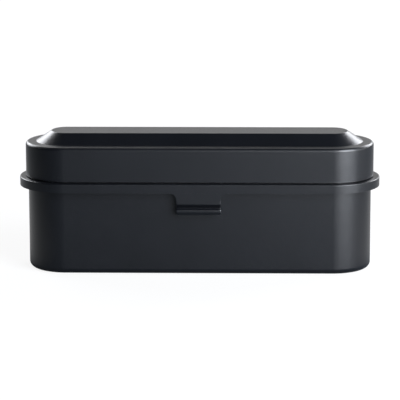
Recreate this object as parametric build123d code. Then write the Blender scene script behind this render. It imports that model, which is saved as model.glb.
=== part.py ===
from build123d import *
import math
import os

# Film case: a drawn steel box for five 35 mm film cassettes standing in a row.
# Millimetres. The origin is the centre of the underside, X runs along the case,
# -Y is the front and +Z is up.

# Plan of the base wall, a rectangle with half-round ends
CASE_LENGTH = 135.2
CASE_DEPTH = 30.5
HALF_DEPTH = CASE_DEPTH / 2
STRAIGHT_HALF = CASE_LENGTH / 2 - HALF_DEPTH

# Sheet steel, and the gap kept between parts that move past each other
SHEET = 0.5
RUNNING_GAP = 0.3

# Heights above the underside
BAND_BOTTOM = 33.2
BAND_TOP = 36.7
SHOULDER_HEIGHT = 50.55
PLATEAU_HEIGHT = 54.7

# Stand-off of each outline from the base wall, positive outwards
LID_WALL_OFFSET = 0.95
BAND_OFFSET = 3.35
SLOPE_FOOT_OFFSET = -3.2
PLATEAU_OFFSET = -8.7

# Bends of the drawn sheet, as outside radii
BASE_FOOT_RADIUS = 2.3
SHOULDER_RADIUS = 1.3

# Length of the flat that stands for a bend: of the two small outer bends, and of
# an inner bend out of sight, per millimetre of the outer radius
PLATEAU_EDGE = 0.5
BAND_EDGE = 0.3
INNER_BEND = 0.45

# Bead along the base rim, where the sheet is rolled outwards round a wire
BEAD_RADIUS = 1.3
BEAD_GAP = 0.2
BEAD_SIDES = 8
BEAD_HEIGHT = BAND_TOP - SHEET - BEAD_GAP - BEAD_RADIUS

# Seam groove between the lid wall and the band
SEAM_HEIGHT = 0.4
SEAM_DEPTH = 0.5
JOGGLE_RISE = 0.4
JOGGLE_TOP = BAND_TOP + SEAM_HEIGHT + JOGGLE_RISE

# Film tray
CASSETTES = 5
POCKET_DIAMETER = 25.9
POCKET_PITCH = 26.5
TRAY_GAP = 0.15
TRAY_HEIGHT = 24.0
TRAY_FLOOR = 1.0

# Latch tab, hanging from the band's front
TAB_WIDTH = 17.4
TAB_ROOT_RADIUS = 2.0
TAB_CORNER_RADIUS = 0.6
TAB_ROOT_GAP = 0.05
TAB_BOTTOM = 24.65
GROOVE_TOP = 28.8
GROOVE_DEPTH = 1.45
GROOVE_SLANT = 0.25
LIP_TOP = 26.75
LIP_CURL = 25.6
LIP_REACH = 0.2
LIP_RETURN = 0.35
TAB_BEND_RADIUS = 0.3
LIP_BEND_RADIUS = 0.45

# Catch on the base's front wall
CATCH_WIDTH = 14.0
CATCH_TOP = 32.2
CATCH_BEND = 30.7
CATCH_EDGE = 29.5
CATCH_REACH = 0.8
CATCH_BEND_RADIUS = 0.4

# Two rear hinges
HINGE_SPACING = 76.0
LEAF = 0.6
LEAF_WIDTH = 14.0
LID_KNUCKLE_WIDTH = 5.0
KNUCKLE_GAP = 0.15
PIN_RADIUS = 0.75
PIN_CLEARANCE = 0.03
PIN_END = 0.4
BASE_LEAF_BOTTOM = 20.5
LID_LEAF_TOP = 47.5
LEAF_BEND_RADIUS = 0.5
LEAF_CORNER_RADIUS = 1.5

# How far a cutter stands out past what it cuts
CUT_OVERLAP = 1.0

KNUCKLE_RADIUS = PIN_RADIUS + PIN_CLEARANCE + LEAF
HINGE_Y = HALF_DEPTH + BAND_OFFSET + RUNNING_GAP + KNUCKLE_RADIUS
HINGE_Z = 33.0

# Section plane at the middle of the front: first axis outwards, second axis up
FRONT = Plane(origin=(0, -HALF_DEPTH, 0), x_dir=(0, -1, 0), z_dir=(-1, 0, 0))


def outline(offset):
    """Plan outline that stands off from the base wall by offset."""
    return SlotOverall(CASE_LENGTH + 2 * offset, CASE_DEPTH + 2 * offset)


def plan_path():
    """The base wall's outline as a path that starts at the middle of the front."""
    front_left = (-STRAIGHT_HALF, -HALF_DEPTH)
    front_right = (STRAIGHT_HALF, -HALF_DEPTH)
    rear_right = (STRAIGHT_HALF, HALF_DEPTH)
    rear_left = (-STRAIGHT_HALF, HALF_DEPTH)
    return Wire(
        [
            Edge.make_line((0, -HALF_DEPTH), front_right),
            Edge.make_three_point_arc(front_right, (CASE_LENGTH / 2, 0), rear_right),
            Edge.make_line(rear_right, rear_left),
            Edge.make_three_point_arc(rear_left, (-CASE_LENGTH / 2, 0), front_left),
            Edge.make_line(front_left, (0, -HALF_DEPTH)),
        ]
    )


def slab(offset, low, high):
    """Upright block with the plan outline, between two heights."""
    return extrude(Pos(0, 0, low) * outline(offset), high - low)


def sheet_section(points, radii, thickness):
    """Section of a bent sheet whose middle line runs through the points."""
    return trace(FilletPolyline(*points, radius=radii), thickness)


def ring(section):
    """Section given as stand-off and height, carried once round the case."""
    return sweep(FRONT * section, path=plan_path())


def edges_at(body, height):
    """Edges of the body that lie in the plane at one height."""
    return body.edges().filter_by_position(Axis.Z, height - 0.001, height + 0.001)


# Base


def bead():
    """Section of the rolled bead, whose inner side is flush with the wall."""
    centre = (BEAD_RADIUS - SHEET, BEAD_HEIGHT)
    return Pos(*centre) * RegularPolygon(BEAD_RADIUS, BEAD_SIDES)


def base_shell():
    """Drawn base: floor, rounded foot and wall, with the bead along its rim."""
    outside = slab(0, 0, BEAD_HEIGHT)
    outside = fillet(edges_at(outside, 0), BASE_FOOT_RADIUS)
    inside = slab(-SHEET, SHEET, BEAD_HEIGHT)
    inside = chamfer(edges_at(inside, SHEET), BASE_FOOT_RADIUS * INNER_BEND)
    return outside - inside + ring(bead())


def latch_catch():
    """Strip welded to the front wall, with its lower edge bent outwards."""
    middle = SHEET / 2
    points = [(middle, CATCH_TOP), (middle, CATCH_BEND), (middle + CATCH_REACH, CATCH_EDGE)]
    section = sheet_section(points, [CATCH_BEND_RADIUS], SHEET)
    return extrude(FRONT * section, CATCH_WIDTH / 2, both=True)


def film_tray():
    """Moulded insert with a round pocket for each cassette."""
    wall = -SHEET - TRAY_GAP
    tray = slab(wall, SHEET, TRAY_HEIGHT)
    tray = chamfer(edges_at(tray, SHEET), BASE_FOOT_RADIUS * INNER_BEND)
    depth = TRAY_HEIGHT - SHEET - TRAY_FLOOR
    pocket = Cylinder(POCKET_DIAMETER / 2, depth, align=(Align.CENTER, Align.CENTER, Align.MAX))
    first = -POCKET_PITCH * (CASSETTES - 1) / 2
    for number in range(CASSETTES):
        tray -= Pos(first + number * POCKET_PITCH, 0, TRAY_HEIGHT) * pocket
    return tray


# Lid


def lid_blank(inset):
    """Sharp-edged solid that lies inset inside the lid's outer surface: wall and plateau."""
    slope = math.atan2(PLATEAU_HEIGHT - SHOULDER_HEIGHT, SLOPE_FOOT_OFFSET - PLATEAU_OFFSET)
    draw_in = inset * math.tan(slope / 2)
    shoulder = SHOULDER_HEIGHT - inset
    wall = slab(LID_WALL_OFFSET - inset, JOGGLE_TOP, shoulder)
    foot = Pos(0, 0, shoulder) * outline(SLOPE_FOOT_OFFSET - draw_in)
    top = Pos(0, 0, PLATEAU_HEIGHT - inset) * outline(PLATEAU_OFFSET - draw_in)
    return wall, loft([foot, top], ruled=True)


def lid_outside():
    """Outer surface of the lid, with its drawn bends."""
    wall, plateau = lid_blank(0)
    wall = fillet(edges_at(wall, SHOULDER_HEIGHT), SHOULDER_RADIUS)
    plateau = chamfer(edges_at(plateau, PLATEAU_HEIGHT), PLATEAU_EDGE)
    return wall + plateau


def lid_inside():
    """Inner surface of the lid."""
    wall, plateau = lid_blank(SHEET)
    wall = chamfer(edges_at(wall, SHOULDER_HEIGHT - SHEET), SHOULDER_RADIUS * INNER_BEND)
    return wall + plateau


def lid_foot():
    """Foot of the lid wall, joggled inwards over the seam and down into the band."""
    wall = LID_WALL_OFFSET
    neck = LID_WALL_OFFSET - SEAM_DEPTH
    points = [
        (wall, JOGGLE_TOP),
        (neck, BAND_TOP + SEAM_HEIGHT),
        (neck, BAND_TOP - SHEET),
        (neck - SHEET, BAND_TOP - SHEET),
        (neck - SHEET, BAND_TOP + SEAM_HEIGHT),
        (wall - SHEET, JOGGLE_TOP),
    ]
    return ring(Polygon(*points, align=None))


def lid_shell():
    """Drawn lid: plateau, shoulder and wall on the joggled foot."""
    return lid_outside() - lid_inside() + lid_foot()


def lid_band():
    """Skirt ring with a flange on top, which the lid's neck passes through."""
    inner = BAND_OFFSET - SHEET
    flange = LID_WALL_OFFSET - SEAM_DEPTH
    points = [
        (BAND_OFFSET, BAND_BOTTOM),
        (BAND_OFFSET, BAND_TOP - BAND_EDGE),
        (BAND_OFFSET - BAND_EDGE, BAND_TOP),
        (flange, BAND_TOP),
        (flange, BAND_TOP - SHEET),
        (inner, BAND_TOP - SHEET),
        (inner, BAND_BOTTOM),
    ]
    return ring(Polygon(*points, align=None))


def latch_tab():
    """Snap tab: a flat face, a pressed groove that hooks under the catch, and a curled lip."""
    face = BAND_OFFSET - SHEET / 2
    root = BAND_BOTTOM - TAB_ROOT_GAP
    points = [
        (face, root),
        (face, GROOVE_TOP),
        (face - GROOVE_DEPTH, GROOVE_TOP - GROOVE_SLANT),
        (face + LIP_REACH, LIP_TOP),
        (face + LIP_REACH, LIP_CURL),
        (face - LIP_RETURN, TAB_BOTTOM),
    ]
    bends = [TAB_BEND_RADIUS, TAB_BEND_RADIUS, LIP_BEND_RADIUS, LIP_BEND_RADIUS]
    section = sheet_section(points, bends, SHEET)
    half = TAB_WIDTH / 2
    root_half = half + TAB_ROOT_RADIUS
    strip = extrude(FRONT * section, root_half, both=True)
    # The strip is cut to the tab's front view: concave fillets at its root, rounded corners at its foot
    shoulder = root - TAB_ROOT_RADIUS
    foot = TAB_BOTTOM - SHEET
    left_root = CenterArc((-root_half, shoulder), TAB_ROOT_RADIUS, 0, 90)
    right_root = CenterArc((root_half, shoulder), TAB_ROOT_RADIUS, 90, 90)
    sides = FilletPolyline(
        (-half, shoulder), (-half, foot), (half, foot), (half, shoulder), radius=TAB_CORNER_RADIUS
    )
    head = Line((root_half, root), (-root_half, root))
    front = make_face(left_root.edges() + right_root.edges() + sides.edges() + head.edges())
    blank = extrude(Plane.XZ * front, HALF_DEPTH + BAND_OFFSET + CUT_OVERLAP)
    return strip & blank


# Hinges, drawn at the middle of the rear and then set out in pairs


def knuckle(width):
    """Tube round the pin."""
    return Pos(0, HINGE_Y, HINGE_Z) * (Rot(0, 90, 0) * Cylinder(KNUCKLE_RADIUS, width))


def pin_bore():
    """Cutter for the hole that the pin turns in."""
    length = LEAF_WIDTH + 2 * CUT_OVERLAP
    return Pos(0, HINGE_Y, HINGE_Z) * (
        Rot(0, 90, 0) * Cylinder(PIN_RADIUS + PIN_CLEARANCE, length)
    )


def leaf_strip(points, radii):
    """Bent strip as wide as the leaf, from a middle line given as Y and Z."""
    section = sheet_section(points, radii, LEAF)
    return extrude(Plane.YZ * section, LEAF_WIDTH / 2, both=True)


def base_leaf():
    """Leaf on the base wall, bent back under the band to its two knuckles."""
    on_wall = HALF_DEPTH + LEAF / 2
    neck = HINGE_Z - KNUCKLE_RADIUS + LEAF / 2
    middle_line = [(on_wall, BASE_LEAF_BOTTOM), (on_wall, neck), (HINGE_Y, neck)]
    leaf = leaf_strip(middle_line, [LEAF_BEND_RADIUS]) + knuckle(LEAF_WIDTH)
    # Slot for the lid leaf's knuckle
    slot_width = LID_KNUCKLE_WIDTH + 2 * KNUCKLE_GAP
    slot_depth = 2 * KNUCKLE_RADIUS + RUNNING_GAP + CUT_OVERLAP
    slot_height = 2 * (KNUCKLE_RADIUS + CUT_OVERLAP)
    slot_front = HINGE_Y - KNUCKLE_RADIUS - RUNNING_GAP
    slot = Pos(0, slot_front + slot_depth / 2, HINGE_Z) * Box(slot_width, slot_depth, slot_height)
    leaf = leaf - slot - pin_bore()
    corners = leaf.edges().filter_by(Axis.Y).group_by(Axis.Z)[0]
    return fillet(corners, LEAF_CORNER_RADIUS)


def lid_leaf():
    """Leaf on the lid wall, joggled out over the band and down to its knuckle."""
    on_wall = HALF_DEPTH + LID_WALL_OFFSET + LEAF / 2
    over_band = BAND_TOP + LEAF / 2
    behind_band = HINGE_Y - KNUCKLE_RADIUS + LEAF / 2
    points = [
        (on_wall, LID_LEAF_TOP),
        (on_wall, over_band),
        (behind_band, over_band),
        (behind_band, HINGE_Z),
    ]
    leaf = leaf_strip(points, [LEAF_BEND_RADIUS, LEAF_BEND_RADIUS])
    # Below the joggle the strip narrows to the width of its one knuckle
    narrow_top = BAND_TOP - LEAF_BEND_RADIUS
    cut_depth = 2 * (KNUCKLE_RADIUS + CUT_OVERLAP)
    cut_height = narrow_top - HINGE_Z + CUT_OVERLAP
    for side in (-1, 1):
        x = side * (LID_KNUCKLE_WIDTH + LEAF_WIDTH) / 2
        place = Pos(x, HINGE_Y, narrow_top - cut_height / 2)
        leaf -= place * Box(LEAF_WIDTH, cut_depth, cut_height)
    leaf = leaf + knuckle(LID_KNUCKLE_WIDTH) - pin_bore()
    corners = leaf.edges().filter_by(Axis.Y).group_by(Axis.Z)[-1]
    return fillet(corners, LEAF_CORNER_RADIUS)


def hinge_pin():
    """Plain pin that stands a little way out of both end knuckles."""
    shank = Rot(0, 90, 0) * Cylinder(PIN_RADIUS, LEAF_WIDTH + 2 * PIN_END)
    return Pos(0, HINGE_Y, HINGE_Z) * shank


left = Pos(-HINGE_SPACING / 2, 0, 0)
right = Pos(HINGE_SPACING / 2, 0, 0)
base_leaf_blank = base_leaf()
lid_leaf_blank = lid_leaf()
pin_blank = hinge_pin()

nodes = {
    "base_shell": base_shell(),
    "latch_catch": latch_catch(),
    "film_tray": film_tray(),
    "hinge_base_leaf_left": left * base_leaf_blank,
    "hinge_base_leaf_right": right * base_leaf_blank,
    "hinge_pin_left": left * pin_blank,
    "hinge_pin_right": right * pin_blank,
    "lid_shell": lid_shell(),
    "lid_band": lid_band(),
    "hinge_lid_leaf_left": left * lid_leaf_blank,
    "hinge_lid_leaf_right": right * lid_leaf_blank,
    "latch_tab": latch_tab(),
}

os.makedirs("parts", exist_ok=True)
for name, solid in nodes.items():
    export_step(solid, f"parts/{name}.step")
    print(name, round(solid.volume, 2))
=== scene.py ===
import math

import bmesh
import bpy
from mathutils import Matrix, Vector


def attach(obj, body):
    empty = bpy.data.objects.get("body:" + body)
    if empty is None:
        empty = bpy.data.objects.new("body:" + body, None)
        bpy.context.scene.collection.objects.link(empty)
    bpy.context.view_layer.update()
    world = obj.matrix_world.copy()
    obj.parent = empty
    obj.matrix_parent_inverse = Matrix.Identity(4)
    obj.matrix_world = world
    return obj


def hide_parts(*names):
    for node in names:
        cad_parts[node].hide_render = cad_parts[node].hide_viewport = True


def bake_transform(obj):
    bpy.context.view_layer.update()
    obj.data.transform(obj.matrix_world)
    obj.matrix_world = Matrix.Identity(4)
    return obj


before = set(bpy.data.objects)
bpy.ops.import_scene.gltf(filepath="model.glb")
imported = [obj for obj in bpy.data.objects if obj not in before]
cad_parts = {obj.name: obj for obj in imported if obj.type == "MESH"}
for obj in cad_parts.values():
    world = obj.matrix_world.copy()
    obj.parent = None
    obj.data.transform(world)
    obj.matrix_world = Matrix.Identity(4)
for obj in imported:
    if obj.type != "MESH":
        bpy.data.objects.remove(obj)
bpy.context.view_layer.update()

MM = 0.001

# Plan of the base wall, a rectangle with half-round ends
HALF_DEPTH = 15.25 * MM
STRAIGHT = 52.35 * MM

# Thickness of the steel sheet
SHEET = 0.5 * MM

# Stand-off of each outline from the base wall, positive outwards
LID_WALL = 0.95 * MM
LID_NECK = -0.15 * MM
BAND = 3.35 * MM
SLOPE_FOOT = -3.2 * MM
PLATEAU = -8.7 * MM

# Heights above the underside
BAND_BOTTOM = 33.2 * MM
BEAD_HEIGHT = 34.7 * MM
BAND_TOP = 36.7 * MM
SEAM_TOP = 36.95 * MM
WALL_FOOT = 37.07 * MM
SHOULDER = 50.55 * MM
LID_TOP = 54.7 * MM

# Bends of the drawn sheet, as radii of its outer face
FOOT_RADIUS = 2.3 * MM
BAND_RADIUS = 0.35 * MM
SEAM_RADIUS = 0.12 * MM
SHOULDER_RADIUS = 1.3 * MM
SLOPE_FOOT_RADIUS = 0.6 * MM
PLATEAU_RADIUS = 0.7 * MM

# Flare at the foot of the lid's wall, and the height over which it fades
FOOT_FLARE = 0.03 * MM
FLARE_HEIGHT = 0.7 * MM

# How much further in the plateau's ends lie than its sides
PLATEAU_END_DRAW = 0.7 * MM

# Bead along the base's rim, and how far its sheet is rolled round
BEAD_RADIUS = 1.3 * MM
BEAD_TURN = math.radians(290)

# Gap between the band's flange and the lid's neck
FLANGE_GAP = 0.02 * MM

# Snap tab: half its width, its foot, the fillets at its root and the corners of its foot
TAB_HALF = 8.7 * MM
TAB_BOTTOM = 24.65 * MM
ROOT_RADIUS = 2.6 * MM
TAB_CORNER = 0.6 * MM

# Width of the strip along each side of the tab that turns back by half as much
TAB_TURN = 0.5 * MM

# Groove across the tab: its top, and the height and the stand-off of its deepest line
GROOVE_TOP = 28.8 * MM
GROOVE_BOTTOM = 27.15 * MM
GROOVE_FLOOR = 2.1 * MM

# Lip under the groove: its top, its reach past the band's face, the height of its curl and how far
# behind the band's face it ends
LIP_TOP = 26.75 * MM
LIP_REACH = 0.2 * MM
LIP_CURL = 0.95 * MM
LIP_RETURN = 0.3 * MM

# Bends of the tab
GROOVE_TOP_RADIUS = 0.3 * MM
GROOVE_RADIUS = 0.15 * MM
LIP_TOP_RADIUS = 0.5 * MM
LIP_RADIUS = 1.3 * MM

# Film tray: its wall's stand-off, and its foot and deck
TRAY_WALL = -0.65 * MM
TRAY_FOOT = 0.5 * MM
TRAY_FOOT_RADIUS = 1.5 * MM
TRAY_TOP = 24.0 * MM

# Pockets of the tray. Two steps round their rims, long inwards and short down, then the reverse
POCKETS = 5
POCKET_RADIUS = 12.95 * MM
POCKET_PITCH = 26.5 * MM
POCKET_FLOOR = 2.25 * MM
RIM_LONG = 0.18 * MM
RIM_SHORT = 0.07 * MM
POCKET_RIM = RIM_LONG + RIM_SHORT

# Rivets of the hinge leaves
HINGE_X = 38.0 * MM
RIVET_SPREAD = 4.0 * MM
RIVET_RADIUS = 1.25 * MM
RIVET_RISE = 0.5 * MM

# Thickness of the leaves, and for each leaf the height of its rivets and the face that they stand on
LEAF = 0.6 * MM
BASE_RIVETS = (25.0 * MM, HALF_DEPTH + LEAF)
LID_RIVETS = (43.5 * MM, HALF_DEPTH + LID_WALL + LEAF)

# Rounding of a piece's sharp edges, and of the band's and the tab's
CUT_EDGE = 0.1 * MM
SKIRT_EDGE = 0.2 * MM

# Fineness of the curves, in steps
END_STEPS = 56
BEND_STEPS = 6
FOOT_STEPS = 8
BEAD_STEPS = 18
ROOT_STEPS = 10
CORNER_STEPS = 4
POCKET_STEPS = 72
DOME_STEPS = 6
RIVET_STEPS = 28
EDGE_STEPS = 3

# Angles past which an edge is shaded sharp, and past which it is rounded
SHARP_ANGLE = math.radians(35)
ROUNDED_ANGLE = math.radians(50)

# Points closer than the first are merged, edges shorter than the second are dissolved,
# and the third is the slack with which places are compared
WELD = 0.002 * MM
SLIVER = 0.001 * MM
HAIR = 0.01 * MM

UP = (0, 0, 1)
DOWN = (0, 0, -1)
REAR = (0, 1, 0)
RIGHT = (1, 0, 0)


# Mesh helpers


def new_piece(name, bm, material):
    """Turns a bmesh into a smooth-shaded object with one material."""
    mesh = bpy.data.meshes.new(name)
    bm.to_mesh(mesh)
    bm.free()
    piece = bpy.data.objects.new(name, mesh)
    bpy.context.collection.objects.link(piece)
    mesh.materials.append(material)
    mesh.shade_smooth()
    mesh.set_sharp_from_angle(angle=SHARP_ANGLE)
    return piece


def close_seams(bm, outward):
    """Merges doubled points and turns every face outwards, judged by the face farthest that way."""
    bmesh.ops.remove_doubles(bm, verts=bm.verts, dist=WELD)
    bmesh.ops.dissolve_degenerate(bm, edges=bm.edges, dist=SLIVER)
    bmesh.ops.recalc_face_normals(bm, faces=bm.faces)
    outward = Vector(outward)
    farthest = max(bm.faces, key=lambda face: face.calc_center_median().dot(outward))
    if farthest.normal.dot(outward) < 0:
        bmesh.ops.reverse_faces(bm, faces=bm.faces)


def points_in(items):
    """The points among mesh items."""
    return [item for item in items if isinstance(item, bmesh.types.BMVert)]


def edges_in(items):
    """The edges among mesh items."""
    return [item for item in items if isinstance(item, bmesh.types.BMEdge)]


def once_each(items):
    """Items without repeats, in the order given."""
    return list(dict.fromkeys(items))


def edges_at(points):
    """The edges that meet at any of the points."""
    return once_each(edge for point in points for edge in point.link_edges)


def extrude(bm, edges):
    """Extrudes edges where they are, returning the new points and edges."""
    made = bmesh.ops.extrude_edge_only(bm, edges=edges)["geom"]
    return points_in(made), edges_in(made)


def turn_round(bm, items, centre, axis, angle, steps, full=False):
    """Sweeps items about an axis, returning those at the end of the turn."""
    turned = bmesh.ops.spin(
        bm,
        geom=items,
        cent=centre,
        axis=axis,
        angle=angle,
        steps=steps,
        use_merge=full,
        use_duplicate=False,
    )
    return turned["geom_last"]


def cut_across(bm, items, x):
    """Cuts items at one place along the case, returning them and their new parts."""
    cut = bmesh.ops.bisect_plane(bm, geom=once_each(items), plane_co=(x, 0, 0), plane_no=RIGHT)
    return cut["geom"]


def round_corners(bm, points, reach, steps):
    """Rounds the corners of a wire or sheet at its points."""
    bmesh.ops.bevel(
        bm,
        geom=points,
        offset=reach,
        offset_type="OFFSET",
        segments=steps,
        profile=0.5,
        affect="VERTICES",
        material=-1,
    )


def section_wire(bm, corners, steps=BEND_STEPS, x=-STRAIGHT):
    """Wire through (stand-off, height, bend radius) corners, in the front section at x."""
    places = [Vector((x, -HALF_DEPTH - out, up)) for out, up, bend in corners]
    points = [bm.verts.new(place) for place in places]
    for first, second in zip(points, points[1:]):
        bm.edges.new((first, second))
    for index in range(1, len(corners) - 1):
        bend = corners[index][2]
        if bend:
            before, corner, after = places[index - 1 : index + 2]
            turn = (corner - before).angle(after - corner)
            round_corners(bm, [points[index]], bend * math.tan(turn / 2), steps)


def carry_round(bm, outward=DOWN):
    """Carries the front section once round the case: front straight, right end, rear straight, left end."""
    edges = list(bm.edges)
    for side in (1, -1):
        points, edges = extrude(bm, edges)
        bmesh.ops.translate(bm, verts=points, vec=(side * 2 * STRAIGHT, 0, 0))
        end = (side * STRAIGHT, 0, 0)
        edges = edges_in(turn_round(bm, points + edges, end, UP, math.pi, END_STEPS))
    close_seams(bm, outward)


def thicken(piece, edge=CUT_EDGE):
    """Gives a piece the thickness of the sheet, inwards from the modelled face."""
    solid = piece.modifiers.new("sheet thickness", "SOLIDIFY")
    solid.thickness = SHEET
    solid.offset = -1
    solid.use_even_offset = True
    finish_edges(piece, edge)


def finish_edges(piece, width=CUT_EDGE):
    """Rounds the sharp edges a little, and lets the large faces keep their own normals."""
    edge = piece.modifiers.new("soft edges", "BEVEL")
    edge.width = width
    edge.segments = EDGE_STEPS
    edge.limit_method = "ANGLE"
    edge.angle_limit = ROUNDED_ANGLE
    shading = piece.modifiers.new("face normals", "WEIGHTED_NORMAL")
    shading.mode = "FACE_AREA"
    shading.weight = 100
    shading.keep_sharp = True


# Shader helpers and groups


def shader_group(name, inputs, outputs):
    """Empty shader node group with named sockets, and its input and output nodes."""
    group = bpy.data.node_groups.new(name, "ShaderNodeTree")
    for socket_name, kind, value in inputs:
        socket = group.interface.new_socket(socket_name, in_out="INPUT", socket_type=kind)
        socket.default_value = value
    for socket_name, kind in outputs:
        group.interface.new_socket(socket_name, in_out="OUTPUT", socket_type=kind)
    return group, group.nodes.new("NodeGroupInput"), group.nodes.new("NodeGroupOutput")


def feed(tree, socket, value):
    """Sets a socket to a number, or links it to the output given."""
    if isinstance(value, (int, float)):
        socket.default_value = value
    else:
        tree.links.new(value, socket)


def math_node(tree, operation, first, second=None):
    """Math node fed by sockets or numbers, returning its output."""
    node = tree.nodes.new("ShaderNodeMath")
    node.operation = operation
    feed(tree, node.inputs[0], first)
    if second is not None:
        feed(tree, node.inputs[1], second)
    return node.outputs[0]


def noise_node(tree, coordinates, scale, detail=2.0, roughness=0.5):
    """Noise texture over given coordinates, returning its factor."""
    node = tree.nodes.new("ShaderNodeTexNoise")
    node.inputs["Detail"].default_value = detail
    node.inputs["Roughness"].default_value = roughness
    tree.links.new(coordinates, node.inputs["Vector"])
    feed(tree, node.inputs["Scale"], scale)
    return node.outputs["Fac"]


def range_node(tree, value, low, high, new_low=0.0, new_high=1.0):
    """Map Range node, clamped, returning its result."""
    node = tree.nodes.new("ShaderNodeMapRange")
    feed(tree, node.inputs["Value"], value)
    feed(tree, node.inputs["From Min"], low)
    feed(tree, node.inputs["From Max"], high)
    feed(tree, node.inputs["To Min"], new_low)
    feed(tree, node.inputs["To Max"], new_high)
    return node.outputs["Result"]


def mix_colour(tree, factor, first, second):
    """Mix of two colours by a factor socket."""
    node = tree.nodes.new("ShaderNodeMix")
    node.data_type = "RGBA"
    tree.links.new(factor, node.inputs["Factor"])
    for socket, value in (("A", first), ("B", second)):
        target = [item for item in node.inputs if item.name == socket and item.type == "RGBA"][0]
        if isinstance(value, tuple):
            target.default_value = (*value, 1)
        else:
            tree.links.new(value, target)
    return [item for item in node.outputs if item.type == "RGBA"][0]


def object_place(tree):
    """Object coordinates."""
    return tree.nodes.new("ShaderNodeTexCoord").outputs["Object"]


# Powder coat: scale of its clouded shade, weight of its orange peel against its grain,
# and the height of both
CLOUD_SCALE = 55.0
PEEL_WEIGHT = 1.6
COAT_RELIEF = 0.03 * MM

# Rubbed edges: radius of the rounding that finds them, how far the rounded normal has turned
# where the wear begins and where it is full, as cosines, and the softness of its patches
WEAR_RADIUS = 0.22 * MM
WEAR_BEGINS = 0.97
WEAR_FULL = 0.75
PATCH_EDGE = 0.12


def make_coat_grain():
    """Powder coat surface: fine grain over soft orange peel as a normal, and masks of grain and cloud."""
    group, given, result = shader_group(
        "coat_grain",
        [
            ("Grain Scale", "NodeSocketFloat", 2600.0),
            ("Peel Scale", "NodeSocketFloat", 420.0),
            ("Strength", "NodeSocketFloat", 0.3),
        ],
        [("Normal", "NodeSocketVector"), ("Grain", "NodeSocketFloat"), ("Cloud", "NodeSocketFloat")],
    )
    place = object_place(group)
    grain = noise_node(group, place, given.outputs["Grain Scale"], detail=3.0, roughness=0.65)
    peel = noise_node(group, place, given.outputs["Peel Scale"], detail=1.5)
    cloud = noise_node(group, place, CLOUD_SCALE, detail=3.0)
    height = math_node(group, "ADD", grain, math_node(group, "MULTIPLY", peel, PEEL_WEIGHT))
    bump = group.nodes.new("ShaderNodeBump")
    bump.inputs["Distance"].default_value = COAT_RELIEF
    group.links.new(height, bump.inputs["Height"])
    group.links.new(given.outputs["Strength"], bump.inputs["Strength"])
    group.links.new(bump.outputs["Normal"], result.inputs["Normal"])
    group.links.new(grain, result.inputs["Grain"])
    group.links.new(cloud, result.inputs["Cloud"])
    return group


def make_edge_wear():
    """Mask of the rubbed edges: where a rounded normal departs from the real one, broken up by noise."""
    group, given, result = shader_group(
        "edge_wear",
        [
            ("Radius", "NodeSocketFloat", WEAR_RADIUS),
            ("Amount", "NodeSocketFloat", 0.5),
            ("Break-up Scale", "NodeSocketFloat", 900.0),
        ],
        [("Wear", "NodeSocketFloat")],
    )
    rounded = group.nodes.new("ShaderNodeBevel")
    rounded.samples = 6
    group.links.new(given.outputs["Radius"], rounded.inputs["Radius"])
    real = group.nodes.new("ShaderNodeNewGeometry")
    dot = group.nodes.new("ShaderNodeVectorMath")
    dot.operation = "DOT_PRODUCT"
    group.links.new(rounded.outputs["Normal"], dot.inputs[0])
    group.links.new(real.outputs["Normal"], dot.inputs[1])
    edge = range_node(group, dot.outputs["Value"], WEAR_BEGINS, WEAR_FULL)
    scale = given.outputs["Break-up Scale"]
    patches = noise_node(group, object_place(group), scale, detail=4.0, roughness=0.7)
    threshold = math_node(group, "SUBTRACT", 1.0, given.outputs["Amount"])
    broken = range_node(group, patches, threshold, math_node(group, "ADD", threshold, PATCH_EDGE))
    group.links.new(math_node(group, "MULTIPLY", edge, broken), result.inputs["Wear"])
    return group


def group_node(tree, group, **values):
    """Places a shader group in a material and sets its named inputs."""
    node = tree.nodes.new("ShaderNodeGroup")
    node.node_tree = group
    for key, value in values.items():
        node.inputs[key.replace("_", " ")].default_value = value
    return node


def new_material(name):
    """New material, with its node tree and its Principled shader."""
    material = bpy.data.materials.new(name)
    material.use_nodes = True
    tree = material.node_tree
    return material, tree, tree.nodes["Principled BSDF"]


# Materials

# Powder coat: its colour in darker and lighter clouds and where it is rubbed, then its gloss,
# grain and least and greatest roughness
COAT = (0.0013, 0.0018, 0.0030)
COAT_LIGHT = (0.0021, 0.0026, 0.0040)
WORN_COAT = (0.16, 0.16, 0.165)
COAT_GLOSS = 0.5
COAT_GRAIN = 0.42
COAT_ROUGHNESS = (0.29, 0.39)

# Drawn steel of the pins: two tones, roughness, and the lines' scale along and across the pin
PIN_STEEL = (0.30, 0.30, 0.31)
PIN_STEEL_LIGHT = (0.46, 0.46, 0.47)
PIN_ROUGHNESS = (0.25, 0.42)
PIN_LINES = (60, 2600, 2600)

# Moulding of the tray: two tones, then the strength and scale of its grain, and its roughness
MOULDING = (0.020, 0.020, 0.021)
MOULDING_LIGHT = (0.028, 0.028, 0.029)
MOULDING_GRAIN = 0.22
MOULDING_GRAIN_SCALE = 3600.0
MOULDING_ROUGHNESS = (0.55, 0.68)

# Stretch of a noise that is spread over a whole mask, and the shorter one for the coat's clouds
NOISE_SPREAD = (0.3, 0.7)
CLOUD_SPREAD = (0.35, 0.65)

coat_grain = make_coat_grain()
edge_wear = make_edge_wear()


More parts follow.
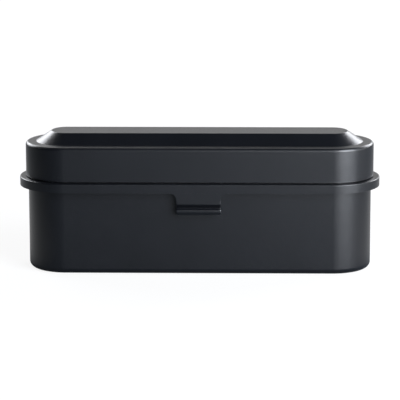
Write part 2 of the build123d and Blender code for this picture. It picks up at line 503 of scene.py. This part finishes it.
def coated_steel(name, wear=0.5):
    """Satin black powder coat, rubbed a little on its edges."""
    material, tree, shader = new_material(name)
    surface = group_node(tree, coat_grain, Strength=COAT_GRAIN)
    worn = group_node(tree, edge_wear, Amount=wear)
    shade = range_node(tree, surface.outputs["Cloud"], *CLOUD_SPREAD)
    coat = mix_colour(tree, shade, COAT, COAT_LIGHT)
    colour = mix_colour(tree, worn.outputs["Wear"], coat, WORN_COAT)
    tree.links.new(colour, shader.inputs["Base Color"])
    rough = range_node(tree, surface.outputs["Grain"], *NOISE_SPREAD, *COAT_ROUGHNESS)
    tree.links.new(rough, shader.inputs["Roughness"])
    tree.links.new(surface.outputs["Normal"], shader.inputs["Normal"])
    shader.inputs["Specular IOR Level"].default_value = COAT_GLOSS
    return material


def drawn_wire(name):
    """Bare steel pin, with fine drawing lines along its length."""
    material, tree, shader = new_material(name)
    stretch = tree.nodes.new("ShaderNodeMapping")
    stretch.inputs["Scale"].default_value = PIN_LINES
    tree.links.new(object_place(tree), stretch.inputs["Vector"])
    lines = noise_node(tree, stretch.outputs["Vector"], 1.0, detail=4.0)
    colour = mix_colour(tree, range_node(tree, lines, *NOISE_SPREAD), PIN_STEEL, PIN_STEEL_LIGHT)
    tree.links.new(colour, shader.inputs["Base Color"])
    rough = range_node(tree, lines, *NOISE_SPREAD, *PIN_ROUGHNESS)
    tree.links.new(rough, shader.inputs["Roughness"])
    shader.inputs["Metallic"].default_value = 1.0
    return material


def moulded_plastic(name):
    """Matt black moulding with a fine eroded texture."""
    material, tree, shader = new_material(name)
    surface = group_node(tree, coat_grain, Grain_Scale=MOULDING_GRAIN_SCALE, Strength=MOULDING_GRAIN)
    shade = range_node(tree, surface.outputs["Cloud"], *NOISE_SPREAD)
    colour = mix_colour(tree, shade, MOULDING, MOULDING_LIGHT)
    tree.links.new(colour, shader.inputs["Base Color"])
    rough = range_node(tree, surface.outputs["Grain"], *NOISE_SPREAD, *MOULDING_ROUGHNESS)
    tree.links.new(rough, shader.inputs["Roughness"])
    tree.links.new(surface.outputs["Normal"], shader.inputs["Normal"])
    return material


lid_coat = coated_steel("lid_coat", wear=0.58)
base_coat = coated_steel("base_coat")
band_coat = coated_steel("band_coat", wear=0.44)
hinge_coat = coated_steel("hinge_coat")
pin_wire = drawn_wire("pin_wire")
tray_moulding = moulded_plastic("tray_moulding")


# Lid


def make_lid_cover():
    """Drawn lid: neck, joggle over the seam, wall, shoulder, ledge, slope and plateau."""
    bm = bmesh.new()
    section_wire(
        bm,
        [
            (LID_NECK, BAND_TOP - SHEET, 0),
            (LID_NECK, SEAM_TOP, SEAM_RADIUS),
            (LID_WALL + FOOT_FLARE, WALL_FOOT, 0),
            (LID_WALL, WALL_FOOT + FLARE_HEIGHT, 0),
            (LID_WALL, SHOULDER, SHOULDER_RADIUS),
            (SLOPE_FOOT, SHOULDER, SLOPE_FOOT_RADIUS),
            (PLATEAU, LID_TOP, PLATEAU_RADIUS),
            (-HALF_DEPTH, LID_TOP, 0),
        ],
    )
    carry_round(bm, UP)
    # The plateau's ends slope back a little more than its sides
    for vert in bm.verts:
        end = abs(vert.co.x) - STRAIGHT
        rise = (vert.co.z - SHOULDER) / (LID_TOP - SHOULDER)
        if end > 0 and rise > 0:
            end *= 1 - rise * PLATEAU_END_DRAW / (HALF_DEPTH + PLATEAU)
            vert.co.x = math.copysign(STRAIGHT + end, vert.co.x)
    cover = new_piece("lid_cover", bm, lid_coat)
    thicken(cover)
    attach(cover, "lid")
    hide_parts("lid_shell")


# Base


def make_base_cup():
    """Drawn base: floor, foot fillet, wall and the bead rolled outwards at its rim."""
    bm = bmesh.new()
    section_wire(bm, [(-HALF_DEPTH, 0, 0), (0, 0, FOOT_RADIUS), (0, BEAD_HEIGHT, 0)], FOOT_STEPS)
    rim = max(bm.verts, key=lambda vert: vert.co.z)
    bead_centre = (-STRAIGHT, -HALF_DEPTH + SHEET - BEAD_RADIUS, BEAD_HEIGHT)
    turn_round(bm, [rim], bead_centre, RIGHT, BEAD_TURN, BEAD_STEPS)
    carry_round(bm)
    cup = new_piece("base_cup", bm, base_coat)
    thicken(cup)
    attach(cup, "base")
    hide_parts("base_shell")


# Band and snap tab


def band_ring(bm):
    """Ring of the band with its flange, cut across its front where the tab and its fillets meet it."""
    section_wire(
        bm,
        [
            (LID_NECK + FLANGE_GAP, BAND_TOP, 0),
            (BAND, BAND_TOP, BAND_RADIUS),
            (BAND, BAND_BOTTOM, 0),
        ],
    )
    carry_round(bm, UP)
    for x in (-TAB_HALF - ROOT_RADIUS, -TAB_HALF, TAB_HALF, TAB_HALF + ROOT_RADIUS):
        front_faces = [face for face in bm.faces if face.calc_center_median().y < 0]
        cut_across(bm, [item for face in front_faces for item in (face, *face.edges, *face.verts)], x)


def tab_strip(bm):
    """Strip of the tab, flat face, groove and lip, hung from the ring. Returns the strip's edges."""
    ring_edges = set(bm.edges)
    section_wire(
        bm,
        [
            (BAND, BAND_BOTTOM, 0),
            (BAND, BAND_BOTTOM - ROOT_RADIUS, 0),
            (BAND, GROOVE_TOP, GROOVE_TOP_RADIUS),
            (GROOVE_FLOOR, GROOVE_BOTTOM, GROOVE_RADIUS),
            (BAND + LIP_REACH, LIP_TOP, LIP_TOP_RADIUS),
            (BAND + LIP_REACH, TAB_BOTTOM + LIP_CURL, LIP_RADIUS),
            (BAND - LIP_RETURN, TAB_BOTTOM, 0),
        ],
        x=-TAB_HALF,
    )
    points, _ = extrude(bm, [edge for edge in bm.edges if edge not in ring_edges])
    bmesh.ops.translate(bm, verts=points, vec=(2 * TAB_HALF, 0, 0))
    return [edge for edge in bm.edges if edge not in ring_edges]


def turn_back_sides(bm, strip_edges):
    """Turns the tab's side edges back a little, below its root."""
    strip = [item for edge in strip_edges for item in (edge, *edge.verts, *edge.link_faces)]
    for x in (-TAB_HALF + TAB_TURN, TAB_HALF - TAB_TURN):
        strip += cut_across(bm, strip, x)
        strip = [item for item in strip if item.is_valid]
    for vert in bm.verts:
        if abs(vert.co.x) > TAB_HALF - HAIR and vert.co.z < BAND_BOTTOM - ROOT_RADIUS - HAIR:
            vert.co.y += TAB_TURN / 2


def in_root(place, side):
    """Whether a place lies in the corner that the tab's fillet on one side fills."""
    beside = -HAIR <= place.x * side - TAB_HALF <= ROOT_RADIUS + HAIR
    below = -HAIR <= BAND_BOTTOM - place.z <= ROOT_RADIUS + HAIR
    return beside and below and place.y < 0


def fill_roots(bm):
    """Fills the corners between the tab and the band up to a concave fillet on each side."""
    for side in (-1, 1):
        foot = Vector((side * TAB_HALF, -HALF_DEPTH - BAND, BAND_BOTTOM - ROOT_RADIUS))
        centre = foot + Vector((side * ROOT_RADIUS, 0, 0))
        turn_round(bm, [bm.verts.new(foot)], centre, (0, side, 0), math.pi / 2, ROOT_STEPS)
    bmesh.ops.remove_doubles(bm, verts=bm.verts, dist=WELD)
    for side in (-1, 1):
        corner = [edge for edge in bm.edges if all(in_root(vert.co, side) for vert in edge.verts)]
        bmesh.ops.edgeloop_fill(bm, edges=corner)


def make_lid_skirt():
    """Band round the lid's rim with the snap tab hanging from it, one sheet."""
    bm = bmesh.new()
    band_ring(bm)
    turn_back_sides(bm, tab_strip(bm))
    fill_roots(bm)
    lowest = min(vert.co.z for vert in bm.verts)
    round_corners(bm, [vert for vert in bm.verts if vert.co.z < lowest + HAIR], TAB_CORNER, CORNER_STEPS)
    close_seams(bm, UP)
    skirt = new_piece("lid_skirt", bm, band_coat)
    thicken(skirt, SKIRT_EDGE)
    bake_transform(skirt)
    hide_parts("lid_band", "latch_tab")


# Film tray


def make_tray_insert():
    """Moulded insert: a block that fills the base's foot, with five round pockets in its deck."""
    bm = bmesh.new()
    foot_corner = (TRAY_WALL, TRAY_FOOT, TRAY_FOOT_RADIUS)
    section_wire(bm, [(-HALF_DEPTH, TRAY_FOOT, 0), foot_corner, (TRAY_WALL, TRAY_TOP, 0)])
    carry_round(bm)
    first = -POCKET_PITCH * (POCKETS - 1) / 2
    centres = [first + number * POCKET_PITCH for number in range(POCKETS)]
    rims = []
    for centre in centres:
        place = Matrix.Translation((centre, 0, TRAY_TOP))
        radius = POCKET_RADIUS + POCKET_RIM
        ring = bmesh.ops.create_circle(bm, segments=POCKET_STEPS, radius=radius, matrix=place)["verts"]
        rims += edges_at(ring)
    deck_edge = [edge for edge in bm.edges if edge.is_boundary and edge.verts[0].co.z > TRAY_TOP - HAIR]
    bmesh.ops.triangle_fill(bm, use_beauty=True, edges=rims + deck_edge)
    # Each rim is carried inwards and down by the two steps of its rounding, then down to the floor
    wall = TRAY_TOP - POCKET_RIM - POCKET_FLOOR
    edges = rims
    for inwards, down in ((RIM_LONG, RIM_SHORT), (RIM_SHORT, RIM_LONG), (0, wall)):
        points, edges = extrude(bm, edges)
        for centre in centres:
            pocket = [vert for vert in points if abs(vert.co.x - centre) < POCKET_PITCH / 2]
            radius = (pocket[0].co.xy - Vector((centre, 0))).length
            share = 1 - inwards / radius
            from_middle = Matrix.Translation((-centre, 0, 0))
            bmesh.ops.scale(bm, vec=(share, share, 1), space=from_middle, verts=pocket)
        bmesh.ops.translate(bm, verts=points, vec=(0, 0, -down))
    bmesh.ops.holes_fill(bm, edges=[edge for edge in edges if edge.is_boundary], sides=0)
    close_seams(bm, UP)
    insert = new_piece("tray_insert", bm, tray_moulding)
    finish_edges(insert)
    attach(insert, "base")
    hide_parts("film_tray")


# Rivets


def make_rivets(name, body, height, face):
    """Four domed rivet heads on the leaves that ride on one body."""
    bm = bmesh.new()
    dome = RIVET_RADIUS**2 / (2 * RIVET_RISE) + RIVET_RISE / 2
    reach = math.asin(RIVET_RADIUS / dome)
    for hinge in (-HINGE_X, HINGE_X):
        for side in (-RIVET_SPREAD, RIVET_SPREAD):
            centre = Vector((hinge + side, face, height))
            rim = bm.verts.new(centre + Vector((RIVET_RADIUS, 0, 0)))
            dome_centre = centre + Vector((0, RIVET_RISE - dome, 0))
            turn_round(bm, [rim], dome_centre, UP, reach, DOME_STEPS)
            arc = [vert for vert in bm.verts if (vert.co - centre).length < RIVET_RADIUS + HAIR]
            turn_round(bm, arc + edges_at(arc), centre, REAR, math.tau, RIVET_STEPS, full=True)
    bmesh.ops.holes_fill(bm, edges=[edge for edge in bm.edges if edge.is_boundary], sides=0)
    close_seams(bm, REAR)
    heads = new_piece(name, bm, hinge_coat)
    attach(heads, body)


make_lid_cover()
make_base_cup()
make_lid_skirt()
make_tray_insert()
make_rivets("base_leaf_rivets", "base", *BASE_RIVETS)
make_rivets("lid_leaf_rivets", "lid", *LID_RIVETS)

# Finishes of the parts that keep their own shape
finishes = {"latch_catch": base_coat}
for hand in ("left", "right"):
    finishes["hinge_base_leaf_" + hand] = hinge_coat
    finishes["hinge_lid_leaf_" + hand] = hinge_coat
    finishes["hinge_pin_" + hand] = pin_wire
for node, finish in finishes.items():
    for material_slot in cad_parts[node].material_slots:
        material_slot.material = finish


# Floor, light and camera

# White sweep behind the case: the upward part of a unit direction at which it has faded
# out, the rearward parts at which it begins and is full, and its tone
SWEEP_TOP = 0.6
SWEEP_SIDE = 0.2
SWEEP_FULL = 0.6
SWEEP_TONE = 0.87

# Grey wall on the right: the rightward parts at which it begins and is full, and its tone
WALL_SIDE = 0.5
WALL_FULL = 0.95
WALL_TONE = 0.3

ROOM_TONE = 0.02

# Half the width of the floor, in metres
FLOOR_REACH = 3.0

# Share of the floor that is plain white to the camera, and of the painted glow beside the case that shows
# only in the case's reflections
FLOOR_WHITE = 0.86
FLOOR_PAINTED_GLOW = 0.6

# Painted pool of light on the floor beside the case, a glow that only reflections see: where it begins, is
# full, fades and ends, from the middle, where it begins and is full from front to rear, and how far it comes
# forward with each step to the right
PAINTED_GLOW_SIDES = (0.068, 0.085, 0.14, 0.24)
PAINTED_GLOW_REAR = (-0.08, 0.04)
PAINTED_GLOW_NEARER = 0.6

# Colour of the floor where the camera sees it, under its white, and to everything else
FLOOR_SEEN = (0.75, 0.75, 0.75)
FLOOR_TONE = (0.13, 0.14, 0.15)


def floor_material():
    """Floor that is white to the camera but for the case's shadow, and dark in what the case mirrors.

    Beside the case, where its round ends mirror it, a painted pool of light glows that only reflections see.
    """
    material, tree, shader = new_material("pale_floor")
    shader.inputs["Roughness"].default_value = 0.9
    shader.inputs["Specular IOR Level"].default_value = 0.0
    glow = tree.nodes.new("ShaderNodeEmission")
    glow.inputs["Strength"].default_value = 1.0
    ray = tree.nodes.new("ShaderNodeLightPath").outputs
    straight = math_node(tree, "MAXIMUM", ray["Is Camera Ray"], ray["Is Transmission Ray"])
    tree.links.new(mix_colour(tree, straight, FLOOR_TONE, FLOOR_SEEN), shader.inputs["Base Color"])
    split = tree.nodes.new("ShaderNodeSeparateXYZ")
    tree.links.new(object_place(tree), split.inputs["Vector"])
    aside = math_node(tree, "ABSOLUTE", split.outputs["X"])
    begins, full, fades, ends = PAINTED_GLOW_SIDES
    near_side = range_node(tree, aside, begins, full)
    far_side = range_node(tree, aside, ends, fades)
    beside = math_node(tree, "MULTIPLY", near_side, far_side)
    nearer = math_node(tree, "MULTIPLY", math_node(tree, "MAXIMUM", split.outputs["X"], 0.0), PAINTED_GLOW_NEARER)
    rearward = math_node(tree, "ADD", split.outputs["Y"], nearer)
    # Painted pool of light: the floor glows beside the case, seen only by glossy rays, though no lamp is
    # there
    lit = math_node(tree, "MULTIPLY", beside, range_node(tree, rearward, *PAINTED_GLOW_REAR))
    lit = math_node(tree, "MULTIPLY", lit, ray["Is Glossy Ray"])
    painted_glow_share = math_node(tree, "MULTIPLY", lit, FLOOR_PAINTED_GLOW)
    share = math_node(tree, "MAXIMUM", math_node(tree, "MULTIPLY", straight, FLOOR_WHITE), painted_glow_share)
    mix = tree.nodes.new("ShaderNodeMixShader")
    tree.links.new(share, mix.inputs["Fac"])
    tree.links.new(shader.outputs["BSDF"], mix.inputs[1])
    tree.links.new(glow.outputs["Emission"], mix.inputs[2])
    tree.links.new(mix.outputs["Shader"], tree.nodes["Material Output"].inputs["Surface"])
    return material


def make_floor():
    """Flat floor under the case."""
    bm = bmesh.new()
    bmesh.ops.create_grid(bm, x_segments=1, y_segments=1, size=FLOOR_REACH)
    mesh = bpy.data.meshes.new("floor")
    bm.to_mesh(mesh)
    bm.free()
    floor = bpy.data.objects.new("floor", mesh)
    bpy.context.collection.objects.link(floor)
    mesh.materials.append(floor_material())


def make_world():
    """White to the camera. To everything else a dim room, with a white sweep at the rear and a grey wall."""
    world = bpy.data.worlds.new("studio")
    bpy.context.scene.world = world
    world.use_nodes = True
    tree = world.node_tree
    tree.nodes.clear()
    out = tree.nodes.new("ShaderNodeOutputWorld")
    room = tree.nodes.new("ShaderNodeBackground")
    room.inputs["Strength"].default_value = 1.0
    direction = tree.nodes.new("ShaderNodeTexCoord").outputs["Generated"]
    split = tree.nodes.new("ShaderNodeSeparateXYZ")
    tree.links.new(direction, split.inputs["Vector"])
    low = range_node(tree, split.outputs["Z"], 0.0, SWEEP_TOP, 1.0, 0.0)
    sweep = math_node(tree, "MULTIPLY", range_node(tree, split.outputs["Y"], SWEEP_SIDE, SWEEP_FULL), low)
    wall = math_node(tree, "MULTIPLY", range_node(tree, split.outputs["X"], WALL_SIDE, WALL_FULL), low)
    sweep = math_node(tree, "MULTIPLY", sweep, SWEEP_TONE)
    lit = math_node(tree, "MAXIMUM", sweep, math_node(tree, "MULTIPLY", wall, WALL_TONE))
    shown = math_node(tree, "MAXIMUM", lit, tree.nodes.new("ShaderNodeLightPath").outputs["Is Camera Ray"])
    tone = range_node(tree, shown, 0.0, 1.0, ROOM_TONE, 1.0)
    combine = tree.nodes.new("ShaderNodeCombineColor")
    for socket in ("Red", "Green", "Blue"):
        tree.links.new(tone, combine.inputs[socket])
    tree.links.new(combine.outputs["Color"], room.inputs["Color"])
    tree.links.new(room.outputs["Background"], out.inputs["Surface"])


# Middle of the case, which most lamps face, and the lamps' cool tints
LAMP_AIM = (0, 0, 0.03)
LOW_KEY_TINT = (0.95, 0.99, 1.06)
HIGH_KEY_TINT = (0.92, 0.98, 1.06)
FILL_TINT = (0.96, 0.98, 1.03)


def soft_light(name, place, width, height, power, tint=(1, 1, 1), aim=LAMP_AIM):
    """Rectangular studio light aimed at a point. Metres and watts."""
    lamp = bpy.data.lights.new(name, "AREA")
    lamp.shape = "RECTANGLE"
    lamp.size = width
    lamp.size_y = height
    lamp.energy = power
    lamp.color = tint
    light = bpy.data.objects.new(name, lamp)
    bpy.context.collection.objects.link(light)
    light.location = place
    light.rotation_euler = (Vector(aim) - Vector(place)).to_track_quat("-Z", "Y").to_euler()


def make_lights():
    """Two keys and a low fill from the right of the front, and softer lamps behind and beside."""
    soft_light("low_key", (0.36, -0.38, 0.075), 0.40, 0.12, 3.3, LOW_KEY_TINT)
    soft_light("high_key", (0.42, -0.42, 0.36), 0.5, 0.35, 8.8, HIGH_KEY_TINT)
    soft_light("front_fill", (0.24, -0.66, 0.12), 0.3, 0.12, 1.3, FILL_TINT)
    soft_light("rear_high", (0, 0.75, 0.55), 1.2, 0.3, 1.9, aim=(0, 0, 0.05))
    soft_light("rear_left", (-0.55, 0.6, 0.4), 0.6, 0.4, 6.5, FILL_TINT)
    soft_light("rear_right", (0.55, 0.6, 0.4), 0.6, 0.4, 6.5, FILL_TINT)
    soft_light("side_right", (0.9, 0.0, 0.12), 0.5, 0.3, 1.5)


# Camera, as it stood for the photograph, in metres, with its lens and sensor in millimetres
CAMERA_SIDE = math.radians(1.369)
CAMERA_RISE = math.radians(12.717)
CAMERA_ROLL = math.radians(-0.124)
CAMERA_DISTANCE = 1.0027
CAMERA_AIM = (0.000145, 0, 0.02649)
CAMERA_LENS = 227.93
CAMERA_SENSOR = 36.0
CAMERA_NEAR = 0.05
CAMERA_FAR = 20


def make_camera():
    """Long-lens camera a little above and to the right of the front."""
    lens_data = bpy.data.cameras.new("camera")
    lens_data.sensor_width = CAMERA_SENSOR
    lens_data.lens = CAMERA_LENS
    lens_data.clip_start = CAMERA_NEAR
    lens_data.clip_end = CAMERA_FAR
    camera = bpy.data.objects.new("camera", lens_data)
    bpy.context.collection.objects.link(camera)
    sight = Vector(
        (
            -math.sin(CAMERA_SIDE) * math.cos(CAMERA_RISE),
            math.cos(CAMERA_SIDE) * math.cos(CAMERA_RISE),
            -math.sin(CAMERA_RISE),
        )
    )
    level = sight.to_track_quat("-Z", "Y").to_matrix()
    camera.location = Vector(CAMERA_AIM) - sight * CAMERA_DISTANCE
    camera.rotation_euler = (level @ Matrix.Rotation(CAMERA_ROLL, 3, "Z")).to_euler()
    bpy.context.scene.camera = camera


make_floor()
make_world()
make_camera()
make_lights()

bpy.context.scene.view_settings.view_transform = "Standard"
